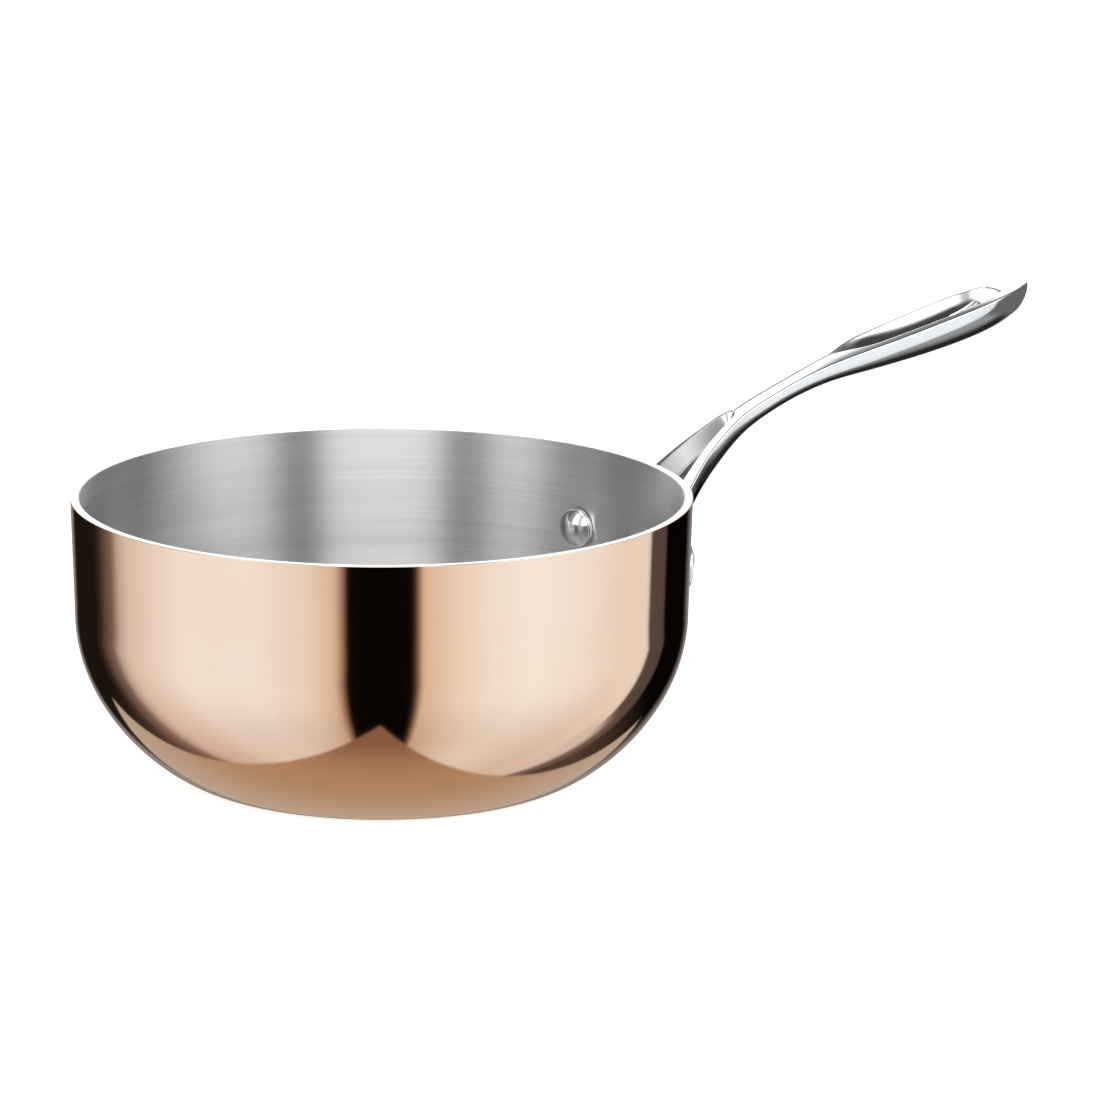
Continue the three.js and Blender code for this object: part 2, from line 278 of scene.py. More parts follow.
def floor_material():
    """Pale studio floor that glows a little, so that the object's shadow stays faint."""
    material = bpy.data.materials.new("studio_floor")
    material.use_nodes = True
    nodes = Nodes(material.node_tree)
    matt = nodes.add("ShaderNodeBsdfDiffuse")
    matt.inputs["Color"].default_value = (0.86, 0.9, 0.93, 1.0)
    glow = nodes.add("ShaderNodeEmission")
    glow.inputs["Color"].default_value = (1.0, 1.0, 1.0, 1.0)
    glow.inputs["Strength"].default_value = 0.6
    both = nodes.add("ShaderNodeAddShader")
    nodes.join(matt.outputs[0], both.inputs[0])
    nodes.join(glow.outputs[0], both.inputs[1])
    output = nodes.add("ShaderNodeOutputMaterial")
    nodes.join(both.outputs[0], output.inputs[0])
    return material


# Meshes ---------------------------------------------------------------------------------------

def finish_mesh(name, points, faces, normals, material):
    """A smooth-shaded object from millimetre points, with exact normals."""
    mesh = bpy.data.meshes.new(name)
    mesh.from_pydata((np.asarray(points) * MM).tolist(), [], faces)
    mesh.polygons.foreach_set("use_smooth", [True] * len(mesh.polygons))
    mesh.materials.append(material)
    mesh.update()
    mesh.normals_split_custom_set_from_vertices(np.asarray(normals).tolist())
    piece = bpy.data.objects.new(name, mesh)
    bpy.context.scene.collection.objects.link(piece)
    return piece


def turned(profile, segments):
    """Points, faces and normals of a profile turned about Z. The profile is rows of radius, height
    and normal, and starts and ends on the axis. Its outside is to the right of its direction."""
    profile = np.asarray(profile, float)
    middle = profile[1:-1]
    turn = np.linspace(0, 2 * np.pi, segments, endpoint=False)
    cosine, sine = np.cos(turn), np.sin(turn)

    def rings(radius, height):
        flat = np.stack([np.outer(radius, cosine), np.outer(radius, sine)], axis=2)
        up = np.repeat(height[:, None], segments, axis=1)
        return np.concatenate([flat, up[:, :, None]], axis=2).reshape(-1, 3)

    points = [*rings(middle[:, 0], middle[:, 1]), (0, 0, profile[0, 1]), (0, 0, profile[-1, 1])]
    normals = [*rings(middle[:, 2], middle[:, 3]), (0, 0, profile[0, 3]), (0, 0, profile[-1, 3])]
    count = len(middle)
    first, last = count * segments, count * segments + 1
    faces = []
    for side in range(segments):
        after = (side + 1) % segments
        faces.append((first, after, side))
        for ring in range(count - 1):
            low, high = ring * segments, (ring + 1) * segments
            faces.append((low + side, low + after, high + after, high + side))
        top = (count - 1) * segments
        faces.append((last, top + side, top + after))
    return np.array(points, float), faces, np.array(normals, float)


def arc(centre, radius, start, end, steps, inward=False):
    """Profile rows on an arc, from one angle in degrees to another. inward turns its normals."""
    turn = np.radians(np.linspace(start, end, steps + 1))
    sign = -1.0 if inward else 1.0
    across, up = np.cos(turn), np.sin(turn)
    return [
        (centre[0] + radius * c, centre[1] + radius * s, sign * c, sign * s)
        for c, s in zip(across, up)
    ]


# Pan ------------------------------------------------------------------------------------------

def pan_surface(inset, bend_steps):
    """The pan's surface from the middle of the base to just below the rim, set in by inset."""
    reach = BEND_RADIUS - BASE_RADIUS
    rows = [(radius, inset, 0.0, -1.0) for radius in (0, 8, 20, 35, 50)]
    for turn in np.linspace(np.pi / 2, 0, bend_steps + 1):
        cosine, sine = max(np.cos(turn), 0.0), np.sin(turn)
        normal = np.array([BEND_HEIGHT * np.sqrt(cosine), -1.5 * reach * sine])
        normal /= np.hypot(*normal)
        radius = BASE_RADIUS + reach * cosine**1.5 - inset * normal[0]
        rows.append((radius, BEND_HEIGHT * (1 - sine) - inset * normal[1], *normal))
    slope = np.array([1.0, -WALL_TAPER]) / np.hypot(1.0, WALL_TAPER)
    for share in np.linspace(0, 0.985, 7)[1:]:
        height = BEND_HEIGHT + STRAIGHT_WALL * share
        rows.append((BEND_RADIUS - inset + WALL_TAPER * STRAIGHT_WALL * share, height, *slope))
    return rows


def pan_layer(name, inset, thickness, corners, bend_steps, material):
    """One bonded layer as a closed shell, with a small radius at each corner of its ground rim."""
    outer_corner, inner_corner = corners
    outside = pan_surface(inset, bend_steps[0])
    inside = [(r, z, -a, -b) for r, z, a, b in reversed(pan_surface(inset + thickness, bend_steps[1]))]
    outer_edge = RIM_RADIUS - inset
    rim = arc((outer_edge - outer_corner, PAN_HEIGHT - outer_corner), outer_corner, 0, 90, 4)
    inner_edge = outer_edge - thickness
    rim += arc((inner_edge + inner_corner, PAN_HEIGHT - inner_corner), inner_corner, 90, 180, 4)
    return finish_mesh(name, *turned(outside + rim + inside, PAN_SEGMENTS), material)


# Rivets ---------------------------------------------------------------------------------------

def wall_radius(z):
    return RIM_RADIUS - WALL_TAPER * (PAN_HEIGHT - z)


def flange_seat(z):
    """Radius at which the flange lies on the wall."""
    return wall_radius(z) + FLANGE_GAP


def head_rows(seat):
    """The head inside the pan, from the middle of its dome to where it meets the shank."""
    face = seat - HEAD_LIP
    ball = (DOME_RADIUS**2 + DOME_HEIGHT**2) / (2 * DOME_HEIGHT)
    spread = np.degrees(np.arcsin((DOME_RADIUS - CROWN_INSET) / ball))
    fillet, corner, back_corner = DOME_FILLET, HEAD_CORNER, 0.1
    rows = arc((0, face - DOME_HEIGHT + ball), ball, -90, -90 + spread, 14)
    rows += arc((DOME_RADIUS + fillet, face - fillet), fillet, 150, 90, 4, inward=True)
    rows += arc((HEAD_RADIUS - corner, face + corner), corner, -90, 0, 8)
    rows += arc((HEAD_RADIUS - back_corner, seat - back_corner), back_corner, 0, 90, 2)
    return rows


def shank_rows(start, end):
    edge = 0.01
    return [
        (SHANK_RADIUS, start, 0, 1), (SHANK_RADIUS, start + edge, 1, 0),
        (SHANK_RADIUS, end - edge, 1, 0), (SHANK_RADIUS, end, 0, -1),
    ]


def formed_rows(back):
    """The head formed on the flange, from the shank to the middle of its crown."""
    crown = (FORMED_RADIUS**2 + FORMED_HEIGHT**2) / (2 * FORMED_HEIGHT)
    edge = np.degrees(np.arcsin((FORMED_RADIUS - CROWN_INSET) / crown))
    rows = arc((FORMED_RADIUS - FORMED_CORNER, back + FORMED_CORNER), FORMED_CORNER, -90, 20, 6)
    rows += arc((0, back + FORMED_HEIGHT - crown), crown, 90 - edge, 90, 10)
    return rows


def rivet(name, side, material):
    """Both heads and the shank turned as one piece, then laid along the wall's radius."""
    seat = wall_radius(RIVET_Z) - WALL - HEAD_GAP
    back = flange_seat(RIVET_Z) + FLANGE
    points, faces, normals = turned(head_rows(seat) + shank_rows(seat, back) + formed_rows(back), 72)
    to_radial = np.array([[0, 0, 1], [1, 0, 0], [0, 1, 0]], float)
    turn = side * RIVET_ANGLE
    cosine, sine = np.cos(turn), np.sin(turn)
    about_z = np.array([[cosine, -sine, 0], [sine, cosine, 0], [0, 0, 1]])
    place = about_z @ to_radial
    points = points @ place.T + (0, 0, RIVET_Z)
    return finish_mesh(name, points, faces, normals @ place.T, material)


# Handle ---------------------------------------------------------------------------------------

# Top edge of one side (distance from the pan's axis, half width, height), depth below that edge and
# rise of the rounded top above it
HANDLE_STATIONS = np.array([
    (97, 25, 72.5, 19.5, 0), (108, 18.3, 82, 17.4, 0), (115, 14.8, 88.4, 15.8, 0),
    (122, 11.7, 94.5, 14.1, 0), (130, 9.1, 100.3, 12, 0), (140, 6.8, 106.3, 9.4, 0.1),
    (150, 6.1, 110.7, 7.7, 0.2), (165, 5.8, 116.3, 7.2, 0.4), (180, 7, 121.1, 8, 1),
    (195, 8.9, 124.8, 9.5, 1.6), (210, 9.8, 128.2, 10.8, 2), (225, 10.4, 131.8, 11.9, 2.1),
    (240, 10.2, 135.3, 12.2, 1.8), (250, 8.4, 137.5, 11.5, 1.2), (257, 5.9, 138.8, 9.9, 0.7),
    (262, 2.9, 139.4, 7, 0.3), (264, 1.4, 139.5, 4.1, 0.05), (264.6, 0.4, 139.5, 1.3, 0.02),
])
# Groove in the top of the root: half width and depth
GROOVE_STATIONS = np.array([
    (96, 18.6, 5.4), (110, 11.8, 5), (116, 9.2, 4.8), (124, 6.5, 4.7), (132, 4.3, 4.6),
    (136.5, 3.3, 4.1), (139, 2.3, 2.8), (140.3, 0.8, 0.9),
])
# Leaf-shaped hollow in the top of the grip: half width, depth and fullness of its section, where 1
# is a plain V and 2 is an ellipse
HOLLOW_STATIONS = np.array([
    (181, 0.4, 0.1, 1.4), (184, 1.9, 0.8, 1.3), (187, 3.4, 1.7, 1.3), (192, 5.5, 3.5, 1.3),
    (200, 6.8, 5, 1.3), (210, 7.4, 6.1, 1.4), (220, 7.9, 6.9, 1.5), (230, 8.2, 7.4, 1.5),
    (240, 7.7, 7.1, 1.5), (247, 5.9, 6.3, 1.5), (250, 4.6, 5.8, 1.5),
])
HOLLOW_END = 250.0
SLOT_RADIUS, SLOT_START, SLOT_END = 4.6, 236.0, 245.2
BELLY_POWER = 2.5
# Rounding where surfaces of the handle meet
EDGE_ROUNDING = 0.5
ARM_FILLET = 5.0
PAD_FILLET = 2.0
WEB_CORNER = 1.0
FLANGE_EDGE = 0.8
GROOVE_EDGE, HOLLOW_EDGE, SLOT_EDGE = 0.45, 0.5, 0.6
# Box in which the handle's surface is found, and the size of its cells. Its low x cuts off the outer
# ends of the flange, so the mesh is open there.
HANDLE_LOW, HANDLE_HIGH = np.array([96.0, -41.0, 52.0]), np.array([266.0, 41.0, 143.0])
CELL = np.array([0.5, 0.36, 0.36])


def spline(places, values):
    """A curve with no jump in slope or curvature through values at places, straight beyond them."""
    gap = np.diff(places)
    rise = np.diff(values) / gap
    count = len(places)
    system = np.eye(count)
    right = np.zeros(count)
    for row in range(1, count - 1):
        system[row, row - 1:row + 2] = (gap[row - 1], 2 * (gap[row - 1] + gap[row]), gap[row])
        right[row] = 6 * (rise[row] - rise[row - 1])
    bend = np.linalg.solve(system, right)
    slope = rise - gap * (2 * bend[:-1] + bend[1:]) / 6
    end_slope = slope[-1] + gap[-1] * (bend[-2] + bend[-1]) / 2

    def curve(x):
        part = np.clip(np.searchsorted(places, x) - 1, 0, count - 2)
        inside = np.clip(x, places[0], places[-1]) - places[part]
        cubic = (bend[part + 1] - bend[part]) / (6 * gap[part])
        value = values[part] + inside * (slope[part] + inside * (bend[part] / 2 + inside * cubic))
        before, beyond = np.minimum(x - places[0], 0), np.maximum(x - places[-1], 0)
        return value + before * slope[0] + beyond * end_slope

    return curve


def column(stations, index, power=1):
    return spline(stations[:, 0], stations[:, index] ** power)


HALF_SQUARED = column(HANDLE_STATIONS, 1, 2)
EDGE_Z = column(HANDLE_STATIONS, 2)
WIDTH_TO_DEPTH = spline(HANDLE_STATIONS[:, 0], HANDLE_STATIONS[:, 1] / HANDLE_STATIONS[:, 3])
CROWN = column(HANDLE_STATIONS, 4)
GROOVE_HALF_SQUARED = column(GROOVE_STATIONS, 1, 2)
GROOVE_DEPTH = column(GROOVE_STATIONS, 2)
HOLLOW_HALF = column(HOLLOW_STATIONS, 1)
HOLLOW_DEPTH = column(HOLLOW_STATIONS, 2)
HOLLOW_FULLNESS = column(HOLLOW_STATIONS, 3)


def smooth_max(a, b, blend):
    share = np.maximum(blend - np.abs(a - b), 0) / blend
    return np.maximum(a, b) + share * share * blend / 4


def smooth_min(a, b, blend):
    return -smooth_max(-a, -b, blend)


def arm_field(x, y, z):
    """The handle's arm and grip: negative inside, and roughly a distance."""
    half2 = HALF_SQUARED(x)
    half = np.sqrt(np.maximum(half2, 0.01))
    below = np.maximum(EDGE_Z(x) - z, 0) * WIDTH_TO_DEPTH(x)
    reach = (np.abs(y) ** BELLY_POWER + below**BELLY_POWER) ** (1 / BELLY_POWER)
    belly = (reach**2 - half2) / (reach + half + 1.0)
    slope = EDGE_Z(x + 0.5) - EDGE_Z(x - 0.5)
    top = EDGE_Z(x) + CROWN(x) * (1 - np.minimum(y * y / (half * half), 1.5))
    return smooth_max(belly, (z - top) / np.sqrt(1 + slope * slope), EDGE_ROUNDING)


def flange_field(x, y, z):
    """A plate that follows the wall: a web between two round pads, one about each rivet."""
    inside = flange_seat(z)
    plate = np.abs(np.hypot(x, y) - inside - FLANGE / 2) - FLANGE / 2
    along = np.arctan2(y, x) * inside
    pad_place = RIVET_ANGLE * flange_seat(RIVET_Z)
    pads = np.hypot(np.abs(along) - pad_place, z - PAD_Z) - PAD_RADIUS
    lower = PAD_Z - PAD_RADIUS + WEB_ARCH * (1 - (along / pad_place) ** 2) - z
    spread = np.maximum(RIVET_Z + WEB_SPREAD_FROM - z, 0) ** 2 * WEB_SPREAD
    side = np.abs(along) - WEB_HALF - spread
    sides = np.maximum(side * 0.5, np.abs(along) - pad_place)
    web = smooth_max(smooth_max(lower, z - RIVET_Z - WEB_TOP, WEB_CORNER), sides, WEB_CORNER)
    return smooth_max(plate, smooth_min(pads, web, PAD_FILLET), FLANGE_EDGE)


def groove_field(x, y, z):
    """The space of the V-shaped groove, open towards the pan."""
    half2 = GROOVE_HALF_SQUARED(x)
    half = np.sqrt(np.maximum(half2, 0.04))
    depth = np.maximum(GROOVE_DEPTH(x), 0.05)
    away = np.sqrt(y * y + 0.04)
    side = (away**2 - half2) / (away + half + 0.5)
    floor = (EDGE_Z(x) - depth * (1 - away / half) - z) * 0.75
    return smooth_max(side * 0.4, floor, 0.2)


def hollow_field(x, y, z):
    """The space of the leaf-shaped hollow."""
    half = np.maximum(HOLLOW_HALF(x), 0.05)
    depth = np.maximum(HOLLOW_DEPTH(x), 0.05)
    share2 = half**2 / np.maximum(HALF_SQUARED(x), 1.0)
    lip = EDGE_Z(x) + CROWN(x) * (1 - share2)
    floor = lip - EDGE_Z(x) + depth
    below = np.maximum(lip - z, 0) / floor
    power = np.clip(HOLLOW_FULLNESS(x), 1.2, 2)
    away = np.minimum(np.abs(y) / half, 50)
    bowl = ((away**power + below**power) ** (1 / power) - 1) * np.minimum(half, floor)
    return smooth_max(bowl, x - HOLLOW_END, 0.4)


def slot_field(x, y, z):
    return np.hypot(x - np.clip(x, SLOT_START, SLOT_END), y) - SLOT_RADIUS


def rivet_hole_field(x, y, z):
    nearest = None
    for side in (-1, 1):
        aside = y * np.cos(RIVET_ANGLE) - side * x * np.sin(RIVET_ANGLE)
        hole = np.hypot(aside, z - RIVET_Z) - SHANK_RADIUS - HOLE_GAP
        nearest = hole if nearest is None else np.minimum(nearest, hole)
    return np.where(x > 0, nearest, 50.0)


def handle_field(x, y, z):
    body = smooth_min(arm_field(x, y, z), flange_field(x, y, z), ARM_FILLET)
    body = smooth_max(body, -groove_field(x, y, z), GROOVE_EDGE)
    body = smooth_max(body, -hollow_field(x, y, z), HOLLOW_EDGE)
    body = smooth_max(body, -slot_field(x, y, z), SLOT_EDGE)
    body = np.maximum(body, -rivet_hole_field(x, y, z))
    return np.maximum(body, flange_seat(z) - np.hypot(x, y))


def gradient(field, points, step=0.02):
    result = np.empty_like(points)
    for axis in range(3):
        ahead, behind = points.copy(), points.copy()
        ahead[:, axis] += step
        behind[:, axis] -= step
        result[:, axis] = (field(*ahead.T) - field(*behind.T)) / (2 * step)
    return result


def sample(field, low, shape):
    """The field at grid points near its surface. A coarse pass finds where those are."""
    block = 8
    coarse_shape = tuple(-(-count // block) for count in shape)
    centres = [low[a] + (np.arange(coarse_shape[a]) + 0.5) * block * CELL[a] for a in range(3)]
    grid = np.meshgrid(*centres, indexing="ij")
    distance = np.abs(field(*(part.ravel() for part in grid))).reshape(coarse_shape)
    near = distance < 1.3 * block * CELL[0]
    for axis in range(3):
        near = np.repeat(near, block, axis=axis)
    near = near[:shape[0], :shape[1], :shape[2]]
    index = np.argwhere(near)
    values = np.full(shape, 1e3)
    for start in range(0, len(index), 400000):
        part = index[start:start + 400000]
        values[tuple(part.T)] = field(*(low + part * CELL).T)
    return values


def edge_crossings(values, inside, cells):
    """Sum of the places where each cell's edges cross the surface, and how many do."""
    total, hits = np.zeros((*cells, 3), np.float32), np.zeros(cells, np.float32)
    corner = np.array([(i, j, k) for i in (0, 1) for j in (0, 1) for k in (0, 1)])
    for axis in range(3):
        step = np.eye(3, dtype=int)[axis]
        for start in corner[corner[:, axis] == 0]:
            here = tuple(slice(s, s + c) for s, c in zip(start, cells))
            there = tuple(slice(s, s + c) for s, c in zip(start + step, cells))
            cross = inside[here] != inside[there]
            first, second = values[here][cross], values[there][cross]
            share = first / (first - second)
            total[cross] += start + np.argwhere(cross) + share[:, None] * step
            hits[cross] += 1
    return total, hits


def surface_quads(inside, number):
    """A quad across every grid edge that crosses the surface, facing out."""
    quads = []
    for a in range(3):
        b, c = (a + 1) % 3, (a + 2) % 3
        here = tuple(slice(0, -1) if i == a else slice(1, -1) for i in range(3))
        there = tuple(slice(1, None) if i == a else slice(1, -1) for i in range(3))
        first, second = inside[here], inside[there]
        at = np.argwhere(first != second)
        outward = first[first != second]
        at[:, b] += 1
        at[:, c] += 1
        ring = []
        for shift_b, shift_c in ((1, 1), (0, 1), (0, 0), (1, 0)):
            cell = at.copy()
            cell[:, b] -= shift_b
            cell[:, c] -= shift_c
            ring.append(number[tuple(cell.T)])
        ring = np.stack(ring, axis=1)
        quads.append(np.where(outward[:, None], ring, ring[:, ::-1]))
    return np.concatenate(quads)


def net_surface(field, low, high):
    """A quad mesh of the surface where the field is zero, with its exact normals. It is open where
    the box from low to high cuts the surface."""
    shape = tuple(np.ceil((high - low) / CELL).astype(int) + 1)
    values = sample(field, low, shape)
    inside = values < 0
    cells = tuple(count - 1 for count in shape)
    total, hits = edge_crossings(values, inside, cells)
    active = hits > 0
    number = np.full(cells, -1)
    number[active] = np.arange(active.sum())
    points = low + total[active] / hits[active][:, None] * CELL
    quads = surface_quads(inside, number)
    points = settle(field, points, quads)
    normals = gradient(field, points)
    normals /= np.linalg.norm(normals, axis=1)[:, None]
    return points, quads, normals


def settle(field, points, quads):
    """Evens the mesh out along the surface and brings every point onto it."""
    edges = np.concatenate([quads[:, (i, (i + 1) % 4)] for i in range(4)])
    start, end = edges.T
    neighbours = np.bincount(start, minlength=len(points))
    for relax in (True, True, True, False, False):
        if relax:
            sums = [np.bincount(start, points[end, axis], len(points)) for axis in range(3)]
            points = points + 0.5 * (np.stack(sums, axis=1) / neighbours[:, None] - points)
        for _ in range(2):
            slope = gradient(field, points)
            length2 = np.maximum((slope**2).sum(axis=1), 0.05)
            shift = (field(*points.T) / length2)[:, None] * slope
            size = np.linalg.norm(shift, axis=1)[:, None]
            points = points - shift * np.minimum(1, 0.4 / np.maximum(size, 1e-9))
    return points


def handle(name, material):
    points, quads, normals = net_surface(handle_field, HANDLE_LOW, HANDLE_HIGH)
    return finish_mesh(name, points, quads.tolist(), normals, material)


# Studio ---------------------------------------------------------------------------------------

def compass():
    """Level unit vectors from the pan towards the camera and to the picture's right."""
    cosine, sine = np.cos(HANDLE_BEARING), np.sin(HANDLE_BEARING)
    return np.array([-sine, -cosine, 0.0]), np.array([cosine, -sine, 0.0])


def make_camera():
    data = bpy.data.cameras.new("camera")
    data.lens = LENS
    data.sensor_width = 36.0
    data.clip_start, data.clip_end = 0.1, 60.0
    camera = bpy.data.objects.new("camera", data)
    bpy.context.scene.collection.objects.link(camera)
    towards, across = compass()
    rim_centre = np.array([0, 0, PAN_HEIGHT * MM])
    sight = towards * np.cos(SIGHT_TILT) + np.array([0, 0, np.sin(SIGHT_TILT)])
    upright = np.cross(sight, across)
    forward = TURN_RIGHT * across - TURN_DOWN * upright - sight
    forward /= np.linalg.norm(forward)
    up = upright - forward * (upright @ forward)
    up /= np.linalg.norm(up)
    turn = Matrix((np.cross(forward, up), up, -forward)).transposed()
    camera.rotation_euler = turn.to_euler()
    camera.location = rim_centre + CAMERA_DISTANCE * sight
    bpy.context.scene.camera = camera


def make_floor():
    mesh = bpy.data.meshes.new("studio_floor")
    reach = 12.0
    corners = [(-reach, -reach, 0), (reach, -reach, 0), (reach, reach, 0), (-reach, reach, 0)]
    mesh.from_pydata(corners, [], [(0, 1, 2, 3)])
    mesh.materials.append(floor_material())
    floor = bpy.data.objects.new("studio_floor", mesh)
    floor.location.z = -0.0003
    floor.visible_glossy = False
    bpy.context.scene.collection.objects.link(floor)


# What stands round the pan at its own height, by bearing in degrees from the camera's side, positive
# to the picture's right: two tall soft boxes with a dark gap at the camera, dark gaps behind them
# and a backdrop.
BLACK = (0.002, 0.0015, 0.001)
BROWN = (0.10, 0.075, 0.068)
BOX_EDGE = (0.77, 0.61, 0.47)
BOX_SIDE = (0.90, 0.84, 0.78)
BOX_MIDDLE = (0.98, 1.0, 1.02)
BACKDROP = (0.30, 0.27, 0.26)
LEVEL_LIGHT = [
    (-180, BACKDROP), (-167, BACKDROP), (-160, (0.012, 0.009, 0.006)), (-135, (0.012, 0.009, 0.006)),
    (-130, (0.04, 0.025, 0.02)), (-120, (0.22, 0.15, 0.13)), (-115, (0.58, 0.49, 0.44)),
    (-109, (0.76, 0.68, 0.62)), (-93, (0.90, 0.86, 0.84)), (-78, BOX_MIDDLE), (-48, BOX_MIDDLE),
    (-28, BOX_SIDE), (-17.5, BOX_EDGE), (-14, (0.25, 0.14, 0.09)), (-12.8, BLACK), (12.2, BLACK),
    (13.8, (0.30, 0.19, 0.12)), (15, BOX_EDGE), (28, BOX_SIDE), (42, BOX_MIDDLE),
    (58, (1.02, 1.07, 1.1)), (78, BOX_MIDDLE), (100, BOX_SIDE), (117.8, (0.90, 0.86, 0.82)),
    (119, BROWN), (130.4, BROWN), (131.8, BLACK), (156, BLACK), (161, (0.1, 0.09, 0.09)),
    (169, BACKDROP), (180, BACKDROP),
]
# The same from just above the pan to about 45 degrees up, and above that
UPPER_LIGHT = [
    (-180, 1.45), (-150, 1.45), (-138, 1.3), (-128, 0.2), (-118, 0.08), (-95, 0.25), (-78, 0.35),
    (-62, 1.9), (-48, 2.0), (-40, 0.8), (-33, 0.5), (-27, 1.0), (-20, 3.0), (20, 3.0), (27, 1.0),
    (33, 0.5), (40, 0.8), (48, 2.3), (72, 2.3), (90, 0.8), (108, 0.3), (128, 0.1), (146, 0.25),
    (158, 1.45), (180, 1.45),
]
HIGH_LIGHT = [
    (-180, 0.3), (-150, 0.2), (-130, 0.06), (-105, 0.12), (-82, 0.7), (-66, 0.95), (-31, 0.65),
    (0, 0.34), (27, 0.12), (60, 0.06), (130, 0.06), (160, 0.15), (180, 0.3),
]
# The table under the pan ends in straight edges. Each lies on a plane through the pan, which faces a
# bearing and slopes down that way by an angle.
TABLE_SIDES = [(-67, 67.5), (72, 73), (180, 32)]
TABLE_BLUR = 0.015
# The right soft box reaches farther round low down
LOW_BOX = [(-180, 0), (108, 0), (113, 1), (121, 1), (126, 0), (180, 0)]
LOW_BOX_COLOUR = (0.72, 0.66, 0.62, 1)
# Below the pan's height the light is dimmer and warmer, with a faint glow behind the pan
ALL, NONE = (1, 1, 1, 1), (0, 0, 0, 1)
LOW_DIM = (0.82, 0.75, 0.70, 1)
REAR_GLOW = (0.085, 0.055, 0.045, 1)
# Heights in degrees over which each light gives way to the next
LEVEL_TO_UPPER = (-3.0, 7.0)
UPPER_TO_HIGH = (40.0, 56.0)
LEVEL_TO_DIM = (-20.0, -62.0)
GLOW_RISE = (-26.0, -50.0)
LOW_BOX_RISE = (-34.0, -46.0)
# The table's colour from in front of the pan to behind it
TABLE = [
    (-0.9, (0.53, 0.45, 0.38)), (-0.55, (0.53, 0.41, 0.32)), (-0.3, (0.49, 0.34, 0.22)),
    (0.0, (0.476, 0.30, 0.175)), (0.25, (0.42, 0.25, 0.14)), (0.5, (0.27, 0.14, 0.085)),
]


def dial(nodes, bearing, stops):
    """A ramp all the way round, from stops in degrees."""
    rows = [
        ((place + 180) / 360, value if isinstance(value, tuple) else (value,) * 3)
        for place, value in stops
    ]
    return nodes.ramp(nodes.math("DIVIDE", nodes.math("ADD", bearing, 180.0), 360.0), rows)


def part_along(nodes, direction, axis):
    """How far a direction points along an axis."""
    node = nodes.add("ShaderNodeVectorMath", operation="DOT_PRODUCT")
    nodes.join(direction, node.inputs[0])
    node.inputs[1].default_value = tuple(axis)
    return node.outputs["Value"]


def level_light(nodes, bearing, height, ahead):
    """The light at the pan's height and below it."""
    level = dial(nodes, bearing, LEVEL_LIGHT)
    dim = nodes.mix(nodes.between(height, *LEVEL_TO_DIM), ALL, LOW_DIM)
    glow = nodes.mix(nodes.between(height, *GLOW_RISE), NONE, REAR_GLOW)
    glow = nodes.mix(nodes.between(ahead, 0.0, -0.25), NONE, glow)
    level = nodes.plus(nodes.multiply(level, dim), glow)
    low_box = dial(nodes, bearing, LOW_BOX)
    low_box = nodes.math("MULTIPLY", low_box, nodes.between(height, *LOW_BOX_RISE))
    return nodes.mix(low_box, level, LOW_BOX_COLOUR)


def table_share(nodes, direction):
    """1 where the table is seen, 0 beyond its edges."""
    towards, right = compass()
    share = 1.0
    for place, slope in np.radians(TABLE_SIDES):
        facing = towards * np.cos(place) + right * np.sin(place)
        normal = facing * np.sin(slope) + np.array([0, 0, np.cos(slope)])
        beyond = part_along(nodes, direction, normal)
        share = nodes.math("MULTIPLY", share, nodes.between(beyond, TABLE_BLUR, -TABLE_BLUR))
    return share


def studio_light(nodes):
    """The studio's light by direction."""
    direction = nodes.add("ShaderNodeTexCoord").outputs["Generated"]
    towards, right = compass()
    ahead = part_along(nodes, direction, towards)
    aside = part_along(nodes, direction, right)
    bearing = nodes.math("DEGREES", nodes.math("ARCTAN2", aside, ahead))
    height = nodes.math("DEGREES", nodes.math("ARCSINE", part_along(nodes, direction, (0, 0, 1))))
    light = level_light(nodes, bearing, height, ahead)
    upper = dial(nodes, bearing, UPPER_LIGHT)
    light = nodes.mix(nodes.between(height, *LEVEL_TO_UPPER), light, upper)
    high = dial(nodes, bearing, HIGH_LIGHT)
    light = nodes.mix(nodes.between(height, *UPPER_TO_HIGH), light, high)
    table_stops = [((place + 1) / 2, colour) for place, colour in TABLE]
    table = nodes.ramp(nodes.math("ADD", nodes.math("MULTIPLY", ahead, 0.5), 0.5), table_stops)
    return nodes.mix(table_share(nodes, direction), light, table)


def make_world():
    """The studio lights the object by direction, and the camera sees plain white behind it."""
    world = bpy.data.worlds.new("studio")
    bpy.context.scene.world = world
    world.use_nodes = True
    nodes = Nodes(world.node_tree)
    seen = nodes.add("ShaderNodeBackground")
    seen.inputs["Color"].default_value = (1.0, 1.0, 1.0, 1.0)
    shining = nodes.add("ShaderNodeBackground")
    nodes.join(studio_light(nodes), shining.inputs["Color"])
    choice = nodes.add("ShaderNodeMixShader")
    nodes.join(nodes.add("ShaderNodeLightPath").outputs["Is Camera Ray"], choice.inputs[0])
    nodes.join(shining.outputs[0], choice.inputs[1])
    nodes.join(seen.outputs[0], choice.inputs[2])
    output = nodes.add("ShaderNodeOutputWorld")
    nodes.join(choice.outputs[0], output.inputs[0])


# Painted shade: a sheet that glows a dim grey and is seen only in the handle's reflections, darkening its
# underside and tip.
# The card's bed lies CARD_DROP below the handle's top edge, and its sweep turns up past the tip
CARD_START, CARD_END, CARD_DROP = 152.0, 288.0, 38.0
CARD_SWEEP = [(304.0, 101.0), (316.0, 106.0), (323.0, 115.0), (326.0, 128.0), (328.0, 150.0), (330.0, 175.0)]
BED_HALF, BED_WIDENS_FROM, BED_WIDENING = 27.0, 205.0, 0.35
SWEEP_HALF = 60.0


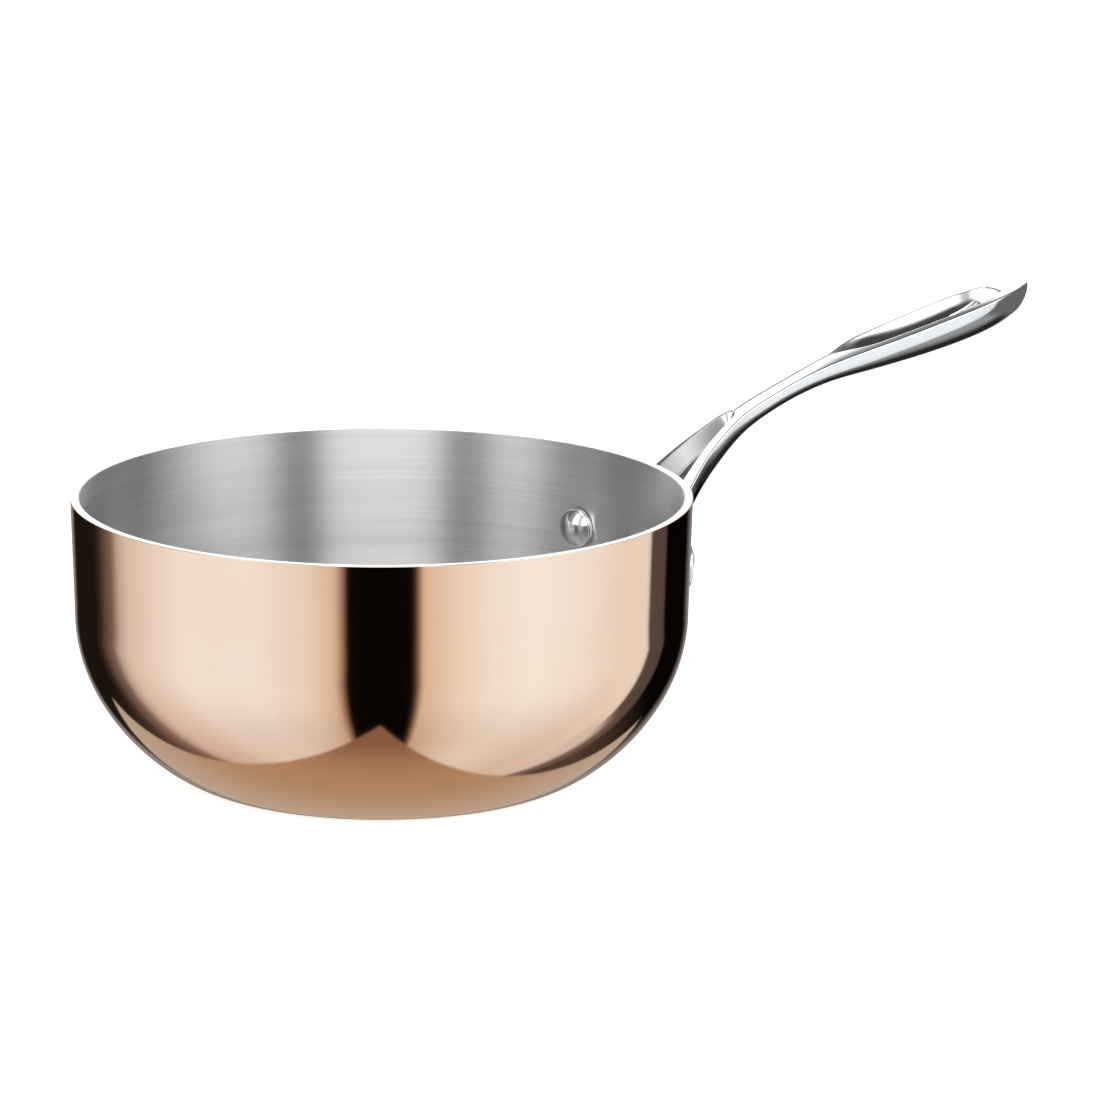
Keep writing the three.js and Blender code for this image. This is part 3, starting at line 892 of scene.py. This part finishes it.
def shade_card_material():
    """Glows grey as painted shade in the handle's reflections: darkest along the bed's middle, and hidden
    from behind.
    """
    material = bpy.data.materials.new("handle_shade_card")
    material.use_nodes = True
    nodes = Nodes(material.node_tree)
    x, y, _ = nodes.split(nodes.position())
    bed_grey = nodes.between(nodes.math("ABSOLUTE", y), 0.008, 0.032, 0.02, 0.34)
    grey = nodes.between(x, 0.285, 0.31, bed_grey, 0.15)
    glow = nodes.add("ShaderNodeEmission")
    nodes.join(nodes.vector(grey, grey, grey), glow.inputs["Color"])
    choice = nodes.add("ShaderNodeMixShader")
    nodes.join(nodes.add("ShaderNodeNewGeometry").outputs["Backfacing"], choice.inputs[0])
    nodes.join(glow.outputs[0], choice.inputs[1])
    nodes.join(nodes.add("ShaderNodeBsdfTransparent").outputs[0], choice.inputs[2])
    output = nodes.add("ShaderNodeOutputMaterial")
    nodes.join(choice.outputs[0], output.inputs[0])
    return material


def make_handle_card():
    """A grey card under the handle that turns up past its tip, and paints shade into the handle's
    reflections of its underside and tip. It shows only in reflections, and only from the handle's side."""
    tip = 262.0
    bed = [(x, EDGE_Z(min(x, tip)) - CARD_DROP) for x in np.linspace(CARD_START, CARD_END, 18)]
    halves = [max(BED_HALF, BED_HALF + (x - BED_WIDENS_FROM) * BED_WIDENING) for x, _ in bed]
    rows = bed + CARD_SWEEP
    halves += [SWEEP_HALF] * len(CARD_SWEEP)
    across = 9
    points, faces = [], []
    for (x, z), half in zip(rows, halves):
        points += [(x * MM, y * MM, z * MM) for y in np.linspace(-half, half, across)]
    for row in range(len(rows) - 1):
        for side in range(across - 1):
            at = row * across + side
            faces.append((at, at + across, at + across + 1, at + 1))
    mesh = bpy.data.meshes.new("handle_shade_card")
    mesh.from_pydata(points, [], faces)
    mesh.materials.append(shade_card_material())
    card = bpy.data.objects.new("handle_shade_card", mesh)
    bpy.context.scene.collection.objects.link(card)
    card.visible_camera = card.visible_diffuse = card.visible_shadow = False
    card.visible_transmission = card.visible_volume_scatter = False


# Assembly -------------------------------------------------------------------------------------

def stand_for(piece, node):
    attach(piece, "root")
    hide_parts(node)


bpy.context.scene.view_settings.view_transform = "Standard"
bpy.context.scene.view_settings.look = "None"
make_camera()
make_floor()
make_world()
# Painted shade for the handle: a glowing card seen only in its reflections.
make_handle_card()

core_inset = COPPER + LAYER_GAP
liner_inset = core_inset + CORE + LAYER_GAP
steel = steel_material("polished_cast_steel", (0.25, 1.0, 1.0))
rivet_steel = steel_material("polished_rivet_steel", (1.0, 1.0, 1.0))

stand_for(
    pan_layer("polished_copper_shell", 0.0, COPPER, (0.2, 0.05), (56, 12), copper_material()),
    "outer_copper_shell",
)
stand_for(
    pan_layer("bonded_core", core_inset, CORE, (0.05, 0.05), (24, 24), core_material()),
    "aluminium_core",
)
stand_for(
    pan_layer("brushed_steel_liner", liner_inset, LINER, (0.05, 0.25), (12, 56), liner_material()),
    "steel_liner",
)
stand_for(handle("cast_handle", steel), "handle")
stand_for(rivet("left_rivet", 1, rivet_steel), "rivet_left")
stand_for(rivet("right_rivet", -1, rivet_steel), "rivet_right")
